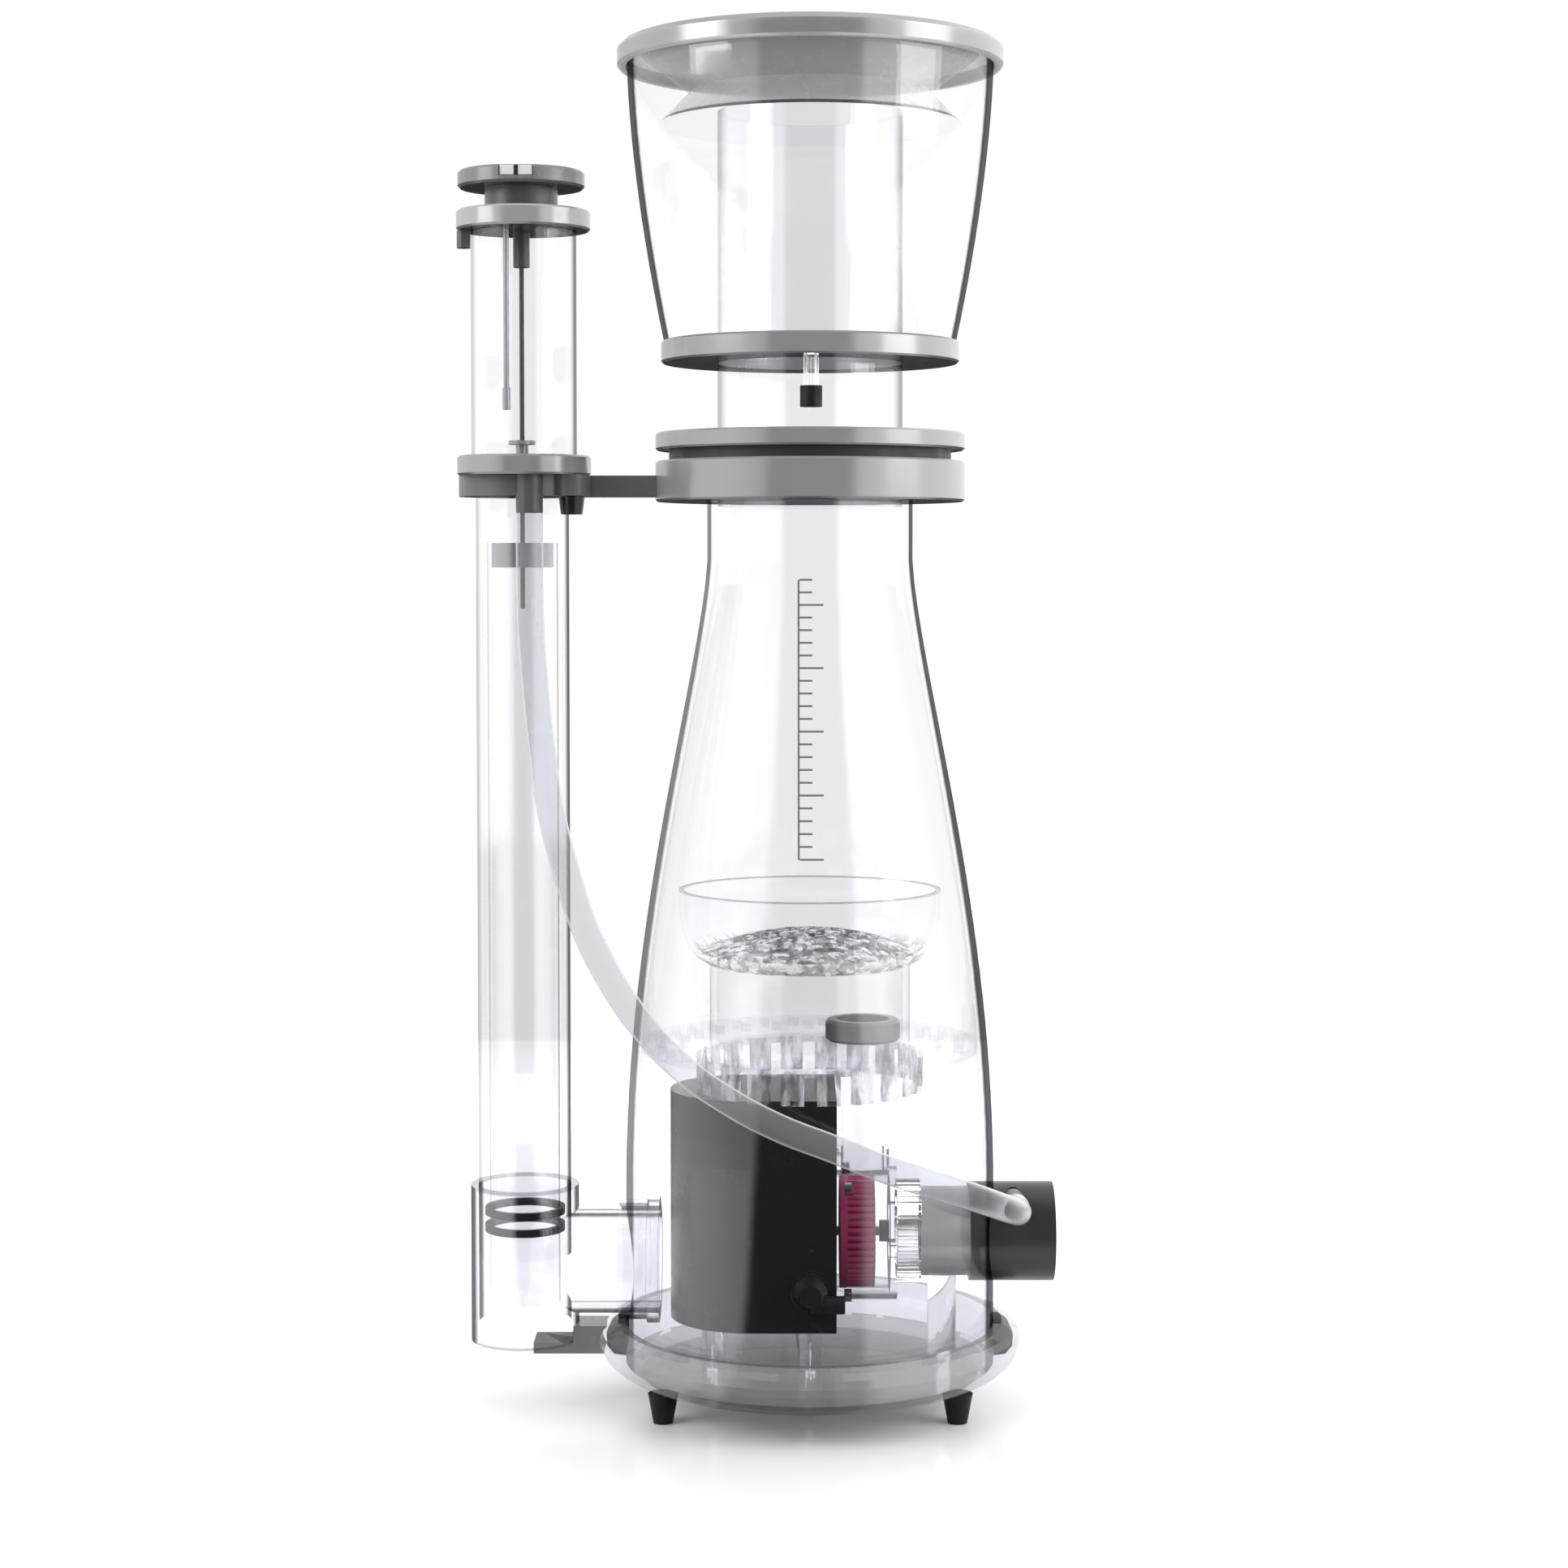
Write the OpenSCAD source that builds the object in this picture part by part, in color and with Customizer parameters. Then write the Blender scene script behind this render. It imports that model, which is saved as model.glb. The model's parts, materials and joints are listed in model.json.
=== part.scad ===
// Cone-bodied protein skimmer for a marine aquarium, standing in the sump on three rubber feet.
// +Z is up, the pump inlet points along +X, the outlet standpipe stands on the -X side and the
// front faces -Y. Modules are drawn about the upright axis of the main body; in_frame() puts the
// origin on the floor under the middle of the whole object.

/* [Main body] */
// Outer radius of the reaction chamber below the bell curve
body_r = 76.3; // [75.8:0.1:76.6]
// Outer radius of the straight neck
neck_r = 42.3; // [42:0.1:42.6]
// Wall of the blown acrylic body
body_wall = 3.8; // [3.4:0.1:4]
// Height of the collar's top face above the floor
collar_top = 390.5; // [390:0.1:391]

/* [Collection cup] */
// Outer radius of the cup at its brim
cup_r = 75; // [74:0.1:75.4]
// Outer radius of the cup's central riser tube
riser_r = 38; // [37.6:0.1:38]
// Overall height, floor to lid
total_h = 560; // [558:1:570]

/* [Standpipe] */
// Distance from the body axis to the standpipe axis
pipe_offset = 118.5; // [117:0.5:120]
// Outer radius of the standpipe
pipe_r = 19.15; // [19:0.05:19.15]
// Outer radius of the control knob
knob_r = 26; // [22:0.5:28]

/* [Pump] */
// Height of the pump axis above the floor
pump_z = 71; // [70:0.5:72]
// Outer radius of the motor block's rounded back
motor_r = 33; // [30:0.5:34]
// Radius of the needle wheel
wheel_r = 23.4; // [20:0.1:24]

/* [Hidden] */
$fn = 96;

running = 0.05;   // radial clearance of a turning shaft
sliding = 0.03;   // radial clearance of a sliding seal
cut = 1;          // how far a cutting tool runs past a face
small_fn = 24;    // facets of pins and small holes

// Base and feet
foot_h = 12;
foot_ring_r = 69;
base_floor = 18;
base_rim_top = 34.3;
base_outline = [[0, 12], [62, 12], [70, 12.9], [76, 14.5], [81, 17], [85, 20.6], [87, 24.3],
    [87.4, 27.4], [86.6, 30.6], [84.4, 33], [80, base_rim_top]];
base_fit = body_r + 0.2;

// Body of revolution: straight foot, bell curve, straight neck
bell_low = 90;
bell_high = 350;
bell_steps = 26;
outlet_z = 59;
outlet_r = 22;
grommet_r = 24.5;
inlet_hole_r = 20.7;

// Collar between the body and the cup
collar_r = 63.6;
collar_low = 374;
arm_low = 376;
arm_top = 384.5;
arm_half_w = 10;

// Cup stack
seal_low = collar_top + 0.2;
flange_low = collar_top + 4.5;
flange_top = flange_low + 7;
riser_low = 372;
riser_wall = 3.5;
riser_top = 533;
cup_floor_low = 430.7;
cup_floor_top = 439.6;
cup_floor_r = 61.2;
cup_foot_r = 60;
cup_wall_t = 3.5;
lid_plate_low = total_h - 4;
lid_skirt_low = total_h - 9;
lid_r = 79;
cup_brim = lid_plate_low - 0.3;
deflector_waist = 541;
deflector_low = 527.8;
drain_y = -50;
drain_r = 3;
drain_bore = 1.8;
drain_low = 413;
plug_r = 4.4;

// Standpipe and water-level gate
pipe_low = 62;
pipe_bore = pipe_r - 2.55;
window_low = 104;
window_high = 134;
gate_r = 14.6;
gate_bore = 12.8;
gate_low = 42;
gate_top = 357;
ring_levels = [71.5, 78.5];
ring_h = 3;
spindle_r = 1;
spindle_low = 330;
coupler_r = 3.4;
coupler_low = 470;

// Air silencer on top of the standpipe
silencer_pos = [1.5 - pipe_offset, -8];
silencer_plate_r = 27.3;
silencer_r = 21.5;
silencer_bore = 18.7;
silencer_low = arm_top;
silencer_tube_low = 392.5;
silencer_tube_top = 484;
silencer_top = 492;
nozzle_pos = [5 - pipe_offset, -25];
nozzle_r = 5.5;
nozzle_low = 369;
air_screw_pos = [21.5 - pipe_offset, -17];
screw_r = 2.5;
knob_low = silencer_top + 0.3;
knob_disc_low = 502;
knob_top = 509;

// Outlet tee at the foot of the standpipe
tee_r = 22.4;
tee_low = 26;
tee_floor = 33;
tee_top = 91;
tee_socket = pipe_r + running;
branch_end = -62;

// Pump, laid along X
motor_face = 10.7;
motor_low = 36;
motor_top = 131;
motor_back = -24.9;
rotor_r = 11.5;
shaft_r = 2;
wheel_x = 12.4;
wheel_w = 14.4;
pin_rows = [[1.5, 46], [5.4, 34], [9.3, 24], [13.2, 14]];   // distance in from the rim, pins
volute_bore = 25;
volute_r = 28;
volute_flange_r = 34.4;
screw_ring_r = 31;
volute_end = 36;
union_end = 45.8;
intake_tube_end = 66;
intake_end = 101;
intake_r = 20.4;
mouth_r = 17;
gland_x = 0;
gland_z = 53;
barb_x = 84;
barb_z = 86;
barb_tip = -24;
discharge_x = 22;
discharge_r = 11;
discharge_low = 106;
plate_low = 147;
plate_top = 151;
plate_r = 69.2;
diffuser_r = 41.5;
diffuser_top = 183;
bowl_rim = 214;

// Air hose: from the silencer's nozzle down and round the front of the body to the pump inlet
hose_r = 5.5;
hose_sides = 10;
hose_route = [
    [-113.5, -25, 369], [-113.5, -25, 350], [-113, -27, 325], [-111, -31, 300], [-108, -36, 275],
    [-104, -42, 250], [-98, -48, 228], [-90, -55, 205], [-80, -61, 186], [-67, -68, 168],
    [-51, -75, 152], [-33, -81, 140], [-13, -85, 130], [8, -86, 122], [28, -85, 114],
    [46, -79, 107], [63, -70, 100], [76, -57, 93], [83, -42, 88], [84, -32, 86], [84, -24, 86]
];

// From the main body's axis to the middle of the object, between knob and inlet mouth
left_end = min(-pipe_offset - knob_r, silencer_pos[0] - silencer_plate_r);
frame_x = -(left_end + intake_end) / 2;

// ---- Shared shapes ----

module in_frame() {
    translate([frame_x, 0, 0]) children();
}

module tube(ro, ri, z0, z1) {
    translate([0, 0, z0]) difference() {
        cylinder(r = ro, h = z1 - z0);
        translate([0, 0, -cut]) cylinder(r = ri, h = z1 - z0 + 2 * cut);
    }
}

// A flat ring with bevelled outer edges
module plate_ring(ro, ri, z0, z1, bevel) {
    rotate_extrude() polygon([[ri, z0], [ro - bevel, z0], [ro, z0 + bevel], [ro, z1 - bevel],
        [ro - bevel, z1], [ri, z1]]);
}

module rod_x(r, x0, x1) {
    translate([x0, 0, pump_z]) rotate([0, 90, 0]) cylinder(r = r, h = x1 - x0);
}

module tube_x(ro, ri, x0, x1) {
    difference() {
        rod_x(ro, x0, x1);
        rod_x(ri, x0 - cut, x1 + cut);
    }
}

module at_pipe() {
    translate([-pipe_offset, 0, 0]) children();
}

module at_silencer() {
    translate([silencer_pos[0], silencer_pos[1], 0]) children();
}

function smooth_step(u) = 3 * u * u - 2 * u * u * u;

// Outer radius of the body at a height: the bell curve eases from the neck into the chamber
function body_radius(z) =
    let (w = min(1, max(0, (bell_high - z) / (bell_high - bell_low))))
    neck_r + (body_r - neck_r) * smooth_step(pow(w, 0.72));

function bell_points(inset) = [
    for (i = [0 : bell_steps])
        let (z = bell_low + (bell_high - bell_low) * i / bell_steps)
        [body_radius(z) - inset, z]
];

function reversed(list) = [for (i = [len(list) - 1 : -1 : 0]) list[i]];

// Outer radius of the cup at a height, flaring from its foot to its brim
function cup_radius(z) =
    let (drop = max(0, cup_brim - z) / (cup_brim - cup_floor_top))
    cup_r - (cup_r - cup_foot_r) * pow(drop, 1.63);

cup_steps = 14;
function cup_points(inset) = [
    for (i = [0 : cup_steps])
        let (z = cup_floor_top + (cup_brim - cup_floor_top) * i / cup_steps)
        [cup_radius(z) - inset, z]
];

// ---- Base ----

module feet() {
    color("#161616")
    for (turn = [90, 210, 330]) rotate(turn) translate([foot_ring_r, 0, 0])
        cylinder(r1 = 4, r2 = 6.2, h = foot_h);
}

module base_solid() {
    rotate_extrude() polygon(concat(base_outline, [[0, base_rim_top]]));
}

module base_dish() {
    color("#8d8f92") difference() {
        base_solid();
        translate([0, 0, base_floor]) cylinder(r = base_fit, h = base_rim_top);
        base_lugs();
    }
}

// Twist-lock lugs set into the rim on either side
module base_lugs() {
    color("#161616") intersection() {
        rotate_extrude() polygon([[base_fit, 21], [81.5, 21.6], [84.2, 25], [84.4, 28.6], [82.8, 32],
            [79.6, base_rim_top], [base_fit, base_rim_top]]);
        translate([-100, -9, 0]) cube([200, 18, 50]);
    }
}

// ---- Body ----

module body_shell() {
    color("#eef0f4", 0.3) difference() {
        rotate_extrude() polygon(concat(
            [[body_r, base_floor]], bell_points(0), [[neck_r, collar_top]],
            [[neck_r - body_wall, collar_top]], reversed(bell_points(body_wall)),
            [[body_r - body_wall, base_floor]]));
        rod_x(inlet_hole_r, body_r - 20, body_r + 10);
        translate([-body_r - 10, 0, outlet_z]) rotate([0, 90, 0]) cylinder(r = grommet_r, h = 30);
    }
}

module collar_ring() {
    color("#a3a4a7") plate_ring(collar_r, neck_r, collar_low, collar_top, 0.8);
}

module collar_arm() {
    color("#4a4b4e") difference() {
        union() {
            at_pipe() translate([0, 0, arm_low]) cylinder(r = 26, h = arm_top - arm_low);
            translate([-pipe_offset, -arm_half_w, arm_low])
                cube([pipe_offset - collar_r + 6, 2 * arm_half_w, arm_top - arm_low]);
            translate([air_screw_pos[0], air_screw_pos[1], arm_low])
                cylinder(r = 7.5, h = arm_top - arm_low);
        }
        at_pipe() translate([0, 0, arm_low - cut]) cylinder(r = pipe_r, h = 20);
        translate([0, 0, arm_low - cut]) cylinder(r = collar_r, h = 20);
        translate([nozzle_pos[0], nozzle_pos[1], arm_low - cut]) cylinder(r = nozzle_r, h = 20);
        translate([air_screw_pos[0], air_screw_pos[1], arm_low - cut])
            cylinder(r = screw_r + running, h = 20);
    }
}

// ---- Collection cup ----

module cup_flange() {
    color("#a3a4a7") plate_ring(collar_r, riser_r, flange_low, flange_top, 0.8);
}

module cup_seal() {
    color("#3a3b3d") tube(58, 44, seal_low, flange_low);
}

module cup_neck() {
    color("#eef0f4", 0.3) tube(riser_r, riser_r - riser_wall, riser_low, riser_top);
}

module cup_floor() {
    color("#a3a4a7") difference() {
        plate_ring(cup_floor_r, riser_r, cup_floor_low, cup_floor_top, 0.8);
        translate([0, drain_y, cup_floor_low - cut]) cylinder(r = drain_bore, h = 20);
    }
}

module cup_wall() {
    color("#eef0f4", 0.3) rotate_extrude()
        polygon(concat(cup_points(0), reversed(cup_points(cup_wall_t))));
}

module drain_nozzle() {
    color("#eef0f4", 0.5) translate([0, drain_y, 0]) tube(drain_r, drain_bore, drain_low, cup_floor_low);
}

module drain_plug() {
    color("#161616") translate([0, drain_y, drain_low - 2.7]) difference() {
        cylinder(r = plug_r, h = 8.3);
        translate([0, 0, 2.2]) cylinder(r = drain_r + running, h = 10);
    }
}

module lid() {
    color("#a3a4a7") rotate_extrude() polygon([[0, lid_plate_low], [lid_r - 3.4, lid_plate_low],
        [lid_r - 3.4, lid_skirt_low], [lid_r - 0.8, lid_skirt_low], [lid_r, lid_skirt_low + 0.8],
        [lid_r, total_h - 2.2], [lid_r - 2.2, total_h], [0, total_h]]);
}

module lid_deflector() {
    color("#b9babd", 0.7) rotate_extrude() polygon([[69, lid_plate_low], [49, deflector_waist],
        [62, deflector_low], [59.6, deflector_low], [46.8, deflector_waist], [66.2, lid_plate_low]]);
}

// ---- Standpipe and gate ----

module standpipe() {
    color("#eef0f4", 0.3) at_pipe() difference() {
        tube(pipe_r, pipe_bore, pipe_low, arm_top);
        translate([-10, 10, window_low]) cube([20, 20, window_high - window_low]);
    }
}

module gate_pipe() {
    color("#eef0f4", 0.3) at_pipe() difference() {
        tube(gate_r, gate_bore, gate_low, gate_top);
        translate([0, 0, gate_low]) rotate([0, 22, 0]) translate([-30, -30, -30]) cube([60, 60, 30]);
    }
}

module gate_o_rings() {
    color("#1d1d1f") at_pipe()
        for (z = ring_levels) tube(pipe_bore - sliding, gate_r, z, z + ring_h);
}

module gate_guide() {
    color("#8f9093") at_pipe() difference() {
        union() {
            tube(gate_bore, 9.6, gate_top - 10, gate_top);
            translate([0, 0, gate_top - 6]) intersection() {
                cylinder(r = 11, h = 4);
                translate([-12, -2.5, 0]) cube([24, 5, 4]);
            }
            translate([0, 0, gate_top - 10]) cylinder(r = 4.4, h = 10);
        }
        translate([0, 0, gate_top - 20]) cylinder(r = spindle_r + running, h = 40);
    }
}

module spindle() {
    color("#26272a") at_pipe() {
        translate([0, 0, spindle_low]) cylinder(r = spindle_r, h = coupler_low - spindle_low);
        translate([0, 0, coupler_low]) cylinder(r = coupler_r, h = knob_low - coupler_low);
    }
}

module knob_hub() {
    color("#4a4b4e") at_pipe() translate([0, 0, knob_low]) cylinder(r = 15, h = knob_disc_low - knob_low);
}

module knob_disc() {
    color("#a3a4a7") at_pipe() difference() {
        plate_ring(knob_r, 0, knob_disc_low, knob_top, 1);
        translate([-7, -knob_r - 1, knob_top - 4.6]) cube([14, 3.4, 6]);
    }
}

// ---- Silencer ----

module silencer_floor() {
    color("#a3a4a7") difference() {
        union() {
            at_silencer() plate_ring(silencer_plate_r, 0, silencer_low, silencer_tube_low, 0.8);
            at_pipe() {
                translate([0, 0, silencer_tube_low]) cylinder(r = 2.6, h = 5);
                translate([0, 0, silencer_tube_low + 5]) cylinder(r = 5.6, h = 1.6);
            }
        }
        at_pipe() translate([0, 0, silencer_low - cut]) cylinder(r = spindle_r + running, h = 20);
        translate([nozzle_pos[0], nozzle_pos[1], silencer_low - cut]) cylinder(r = 1.5, h = 20);
        translate([air_screw_pos[0], air_screw_pos[1], silencer_low - cut])
            cylinder(r = screw_r + running, h = 7.5 + cut);
    }
}

module silencer_tube() {
    color("#eef0f4", 0.3) at_silencer()
        tube(silencer_r, silencer_bore, silencer_tube_low, silencer_tube_top);
}

module silencer_cap() {
    color("#a3a4a7") difference() {
        at_silencer() plate_ring(silencer_plate_r, 0, silencer_tube_top, silencer_top, 0.8);
        at_pipe() translate([0, 0, silencer_tube_top - cut]) cylinder(r = coupler_r + running, h = 20);
        at_silencer() translate([-24.4, 0, silencer_tube_top - cut]) cylinder(r = 1.6, h = 5);
    }
}

module silencer_dip_tube() {
    color("#b4b5b8") at_silencer() translate([-6.5, -7, 0]) {
        tube(1.2, 0.7, 420, silencer_tube_top);
        tube(1.7, 0.7, 411, 420);
    }
}

module air_inlet() {
    color("#3a3b3d") at_silencer() translate([-24.4, 0, 0]) tube(2.8, 1.6, 477, silencer_tube_top);
}

module air_nozzle() {
    color("#4a4b4e") translate([nozzle_pos[0], nozzle_pos[1], 0])
        tube(nozzle_r, 1.5, nozzle_low, silencer_low);
}

module air_screw() {
    color("#161616") translate([air_screw_pos[0], air_screw_pos[1], 0]) {
        translate([0, 0, 368.5]) cylinder(r1 = 4.4, r2 = 5.3, h = arm_low - 0.3 - 368.5);
        translate([0, 0, arm_low - 0.3]) cylinder(r = screw_r, h = 15);
    }
}

function unit(v) = v / norm(v);
function route_dir(i) = unit(hose_route[min(i + 1, len(hose_route) - 1)] - hose_route[max(i - 1, 0)]);
function square_to(v, dir) = unit(v - dir * (v * dir));
function hose_rings() = [
    for (i = 0, side = [0, 1, 0]; i < len(hose_route);
        i = i + 1, side = i < len(hose_route) ? square_to(side, route_dir(i)) : side)
        let (up = cross(route_dir(i), side))
        for (k = [0 : hose_sides - 1])
            let (a = 360 * k / hose_sides)
            hose_route[i] + hose_r * (side * cos(a) + up * sin(a))
];
function hose_faces() = concat(
    [[for (k = [0 : hose_sides - 1]) k]],
    [for (i = [0 : len(hose_route) - 2], k = [0 : hose_sides - 1])
        let (a = i * hose_sides, b = a + hose_sides, next = (k + 1) % hose_sides)
        [a + k, b + k, b + next, a + next]],
    [[for (k = [hose_sides - 1 : -1 : 0]) (len(hose_route) - 1) * hose_sides + k]]
);

module air_hose() {
    color("#f4f5f7", 0.6) polyhedron(hose_rings(), hose_faces());
}

// ---- Outlet ----

module outlet_tee() {
    color("#eef0f4", 0.3) difference() {
        union() {
            at_pipe() translate([0, 0, tee_low]) cylinder(r = tee_r, h = tee_top - tee_low);
            translate([-pipe_offset, 0, outlet_z]) rotate([0, 90, 0])
                cylinder(r = outlet_r, h = pipe_offset + branch_end);
        }
        at_pipe() translate([0, 0, tee_floor]) cylinder(r = tee_socket, h = tee_top);
        translate([-pipe_offset, 0, outlet_z]) rotate([0, 90, 0])
            cylinder(r = outlet_r - 3, h = pipe_offset + branch_end + cut);
    }
}

module outlet_nut() {
    color("#dfe2e8", 0.5) difference() {
        translate([-67.4, 0, outlet_z]) rotate([0, 90, 0]) cylinder(r = 26, h = 5);
        translate([-70, 0, outlet_z]) rotate([0, 90, 0]) cylinder(r = outlet_r, h = 10);
    }
}

module outlet_grommet() {
    color("#5b5c60") difference() {
        translate([-79, 0, outlet_z]) rotate([0, 90, 0]) cylinder(r = grommet_r, h = 11.6);
        translate([-80, 0, outlet_z]) rotate([0, 90, 0]) cylinder(r = outlet_r, h = 20);
    }
}

module tee_foot() {
    color("#6d6f73") difference() {
        translate([-pipe_offset + 4, -9, 21.5]) cube([40, 18, 11.5]);
        at_pipe() translate([0, 0, tee_low]) cylinder(r = tee_r, h = 20);
        base_solid();
    }
}

// ---- Pump ----

module motor_block() {
    color("#3c3d40") difference() {
        union() {
            translate([motor_back, 0, motor_low]) cylinder(r = motor_r, h = motor_top - motor_low);
            translate([motor_back, -motor_r, motor_low])
                cube([motor_face - motor_back, 2 * motor_r, motor_top - motor_low]);
        }
        rod_x(rotor_r + 0.8, -42, motor_face + cut);
        rod_x(4.5, -47, 0);
    }
}

module pump_posts() {
    color("#eef0f4", 0.4) {
        for (spot = [[-40, -20], [-40, 20], [0, -24], [0, 24]])
            translate([spot[0], spot[1], base_floor]) cylinder(r = 4.5, h = motor_low - base_floor);
        translate([55, 0, base_floor]) difference() {
            cylinder(r = 6, h = pump_z - base_floor);
            translate([-55, 0, -base_floor]) rod_x(18.4, 40, 70);
        }
    }
}

module cable_gland() {
    color("#161616") {
        translate([gland_x, -motor_r, gland_z]) rotate([90, 0, 0]) cylinder(r = 8, h = 3);
        translate([gland_x, -motor_r - 3, gland_z]) rotate([90, 0, 0]) cylinder(r1 = 7, r2 = 4.5, h = 6);
        translate([gland_x, -motor_r - 5, gland_z - 4]) rotate([0, 90, 0]) cylinder(r = 3.6, h = 14);
    }
}

module rotor_magnet() {
    color("#2e2e31") tube_x(rotor_r, shaft_r, -38, 8);
}

module pump_shaft() {
    color("#d9dadd") rod_x(shaft_r, -45, 32);
}

module shaft_bushes() {
    color("#f1efe8") {
        tube_x(4.5, shaft_r + running, -47, -42.2);
        tube_x(4.5, shaft_r + running, 29, 33);
    }
}

module needle_wheel() {
    color("#b3164b") {
        tube_x(wheel_r, shaft_r, wheel_x, wheel_x + 3);
        tube_x(5, shaft_r, wheel_x + 3, wheel_x + wheel_w);
        for (row = pin_rows)
            for (i = [1 : row[1]]) translate([wheel_x + 3, 0, pump_z]) rotate([360 * i / row[1], 0, 0])
                translate([0, 0, wheel_r - row[0]]) rotate([0, 90, 0])
                    cylinder(r = 1.2, h = wheel_w - 3, $fn = small_fn);
    }
}

module volute() {
    color("#eef0f4", 0.3) difference() {
        union() {
            rod_x(volute_r, motor_face, volute_end);
            rod_x(volute_flange_r, motor_face, motor_face + 3.3);
            translate([discharge_x, 0, pump_z]) cylinder(r = discharge_r, h = discharge_low - pump_z);
        }
        rod_x(volute_bore, motor_face - cut, volute_end - 3);
        difference() {
            rod_x(12, volute_end - 10, volute_end + cut);
            for (turn = [0, 120, 240]) translate([0, 0, pump_z]) rotate([turn, 0, 0])
                translate([volute_end - 3, -1.5, 0]) cube([3, 3, 13]);
            rod_x(6.5, volute_end - 3, volute_end);
        }
        translate([discharge_x, 0, pump_z]) cylinder(r = discharge_r - 2, h = 40);
    }
}

module pump_screws() {
    color("#c9cbce") for (turn = [45 : 90 : 315])
        translate([motor_face + 3.3, 0, pump_z]) rotate([turn, 0, 0]) translate([0, 0, screw_ring_r])
            rotate([0, 90, 0]) difference() {
                cylinder(r = 2.6, h = 3, $fn = small_fn);
                translate([0, 0, 1.6]) cylinder(r = 1.4, h = 2, $fn = 6);
            }
}

module union_nut() {
    color("#eef0f4", 0.4) {
        tube_x(20, 14, volute_end, union_end);
        for (turn = [0 : 20 : 340]) translate([0, 0, pump_z]) rotate([turn, 0, 0])
            translate([volute_end, -1.2, 19.8]) cube([union_end - volute_end, 2.4, 1.6]);
    }
}

module intake_tube() {
    color("#9a9b9e") tube_x(18.4, 14, union_end, intake_tube_end);
}

module intake_housing() {
    color("#4a4b4e") difference() {
        rod_x(intake_r, intake_tube_end, intake_end);
        rod_x(14, intake_tube_end - cut, intake_end);
        rod_x(mouth_r, intake_tube_end + 6, intake_end + cut);
        translate([barb_x, 0, barb_z]) rotate([90, 0, 0]) cylinder(r = 4.5, h = 30);
    }
}

module hose_barb() {
    color("#4a4b4e") difference() {
        translate([barb_x, -9, barb_z]) rotate([90, 0, 0]) cylinder(r = 4.5, h = -barb_tip - 9);
        translate([barb_x, 0, barb_z]) rotate([90, 0, 0]) cylinder(r = 2, h = 40);
        rod_x(mouth_r, 70, 100);
    }
}

module discharge_tube() {
    color("#eef0f4", 0.3) translate([discharge_x, 0, 0])
        tube(discharge_r, discharge_r - 2, discharge_low, 156);
}

module coupling_ring() {
    color("#5a5b5e") translate([discharge_x, 0, 0]) plate_ring(15.5, discharge_r, plate_top, 160, 1.2);
}

module bubble_plate() {
    color("#eef0f4", 0.3) difference() {
        union() {
            translate([0, 0, plate_low]) cylinder(r = plate_r, h = plate_top - plate_low);
            tube(47, 44.5, motor_top + 0.3, plate_low);
        }
        translate([discharge_x, 0, plate_low - cut]) cylinder(r = discharge_r, h = 10);
        for (turn = [0 : 18 : 342]) rotate(turn) translate([40, -2.6, motor_top - cut])
            cube([12, 5.2, 13]);
        for (row = [[54, 24], [62, 30]])
            for (i = [1 : row[1]]) rotate(360 * i / row[1]) translate([row[0], 0, plate_low - cut])
                cylinder(r = 2, h = 10, $fn = small_fn);
    }
}

module diffuser_tube() {
    color("#eef0f4", 0.3) tube(diffuser_r, diffuser_r - 3, plate_top, diffuser_top);
}

module diffuser_bowl() {
    color("#eef0f4", 0.3) difference() {
        rotate_extrude() polygon([[diffuser_r - 3, diffuser_top], [diffuser_r, diffuser_top],
            [46.6, 186], [50.4, 190], [52.8, 196], [54, 203], [54.3, bowl_rim], [52.3, bowl_rim],
            [52, 203.4], [50.8, 197], [48.6, 191.6], [45, 188.4], [37, 191.4], [28, 194.2],
            [18, 196.2], [9, 197.2], [0, 197.5], [0, 195.5], [9, 195.2], [18, 194.2], [28, 192.2],
            [diffuser_r - 3, 188.8]]);
        for (row = [[0, 1], [8, 6], [15.5, 12], [23, 18], [30.5, 24]])
            for (i = [1 : row[1]]) rotate(360 * i / row[1]) translate([row[0], 0, diffuser_top])
                cylinder(r = 2.3, h = 20, $fn = small_fn);
    }
}

in_frame() feet();
in_frame() base_dish();
in_frame() base_lugs();
in_frame() body_shell();
in_frame() collar_ring();
in_frame() collar_arm();
in_frame() cup_flange();
in_frame() cup_seal();
in_frame() cup_neck();
in_frame() cup_floor();
in_frame() cup_wall();
in_frame() drain_nozzle();
in_frame() drain_plug();
in_frame() lid();
in_frame() lid_deflector();
in_frame() standpipe();
in_frame() gate_pipe();
in_frame() gate_o_rings();
in_frame() gate_guide();
in_frame() spindle();
in_frame() knob_hub();
in_frame() knob_disc();
in_frame() silencer_floor();
in_frame() silencer_tube();
in_frame() silencer_cap();
in_frame() silencer_dip_tube();
in_frame() air_inlet();
in_frame() air_nozzle();
in_frame() air_screw();
in_frame() air_hose();
in_frame() outlet_tee();
in_frame() outlet_nut();
in_frame() outlet_grommet();
in_frame() tee_foot();
in_frame() motor_block();
in_frame() pump_posts();
in_frame() cable_gland();
in_frame() rotor_magnet();
in_frame() pump_shaft();
in_frame() shaft_bushes();
in_frame() needle_wheel();
in_frame() volute();
in_frame() pump_screws();
in_frame() union_nut();
in_frame() intake_tube();
in_frame() intake_housing();
in_frame() hose_barb();
in_frame() discharge_tube();
in_frame() coupling_ring();
in_frame() bubble_plate();
in_frame() diffuser_tube();
in_frame() diffuser_bowl();
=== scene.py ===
"""Studio scene of the protein skimmer: camera, hose, materials, small details, floor and lights."""

import json
import math

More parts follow.
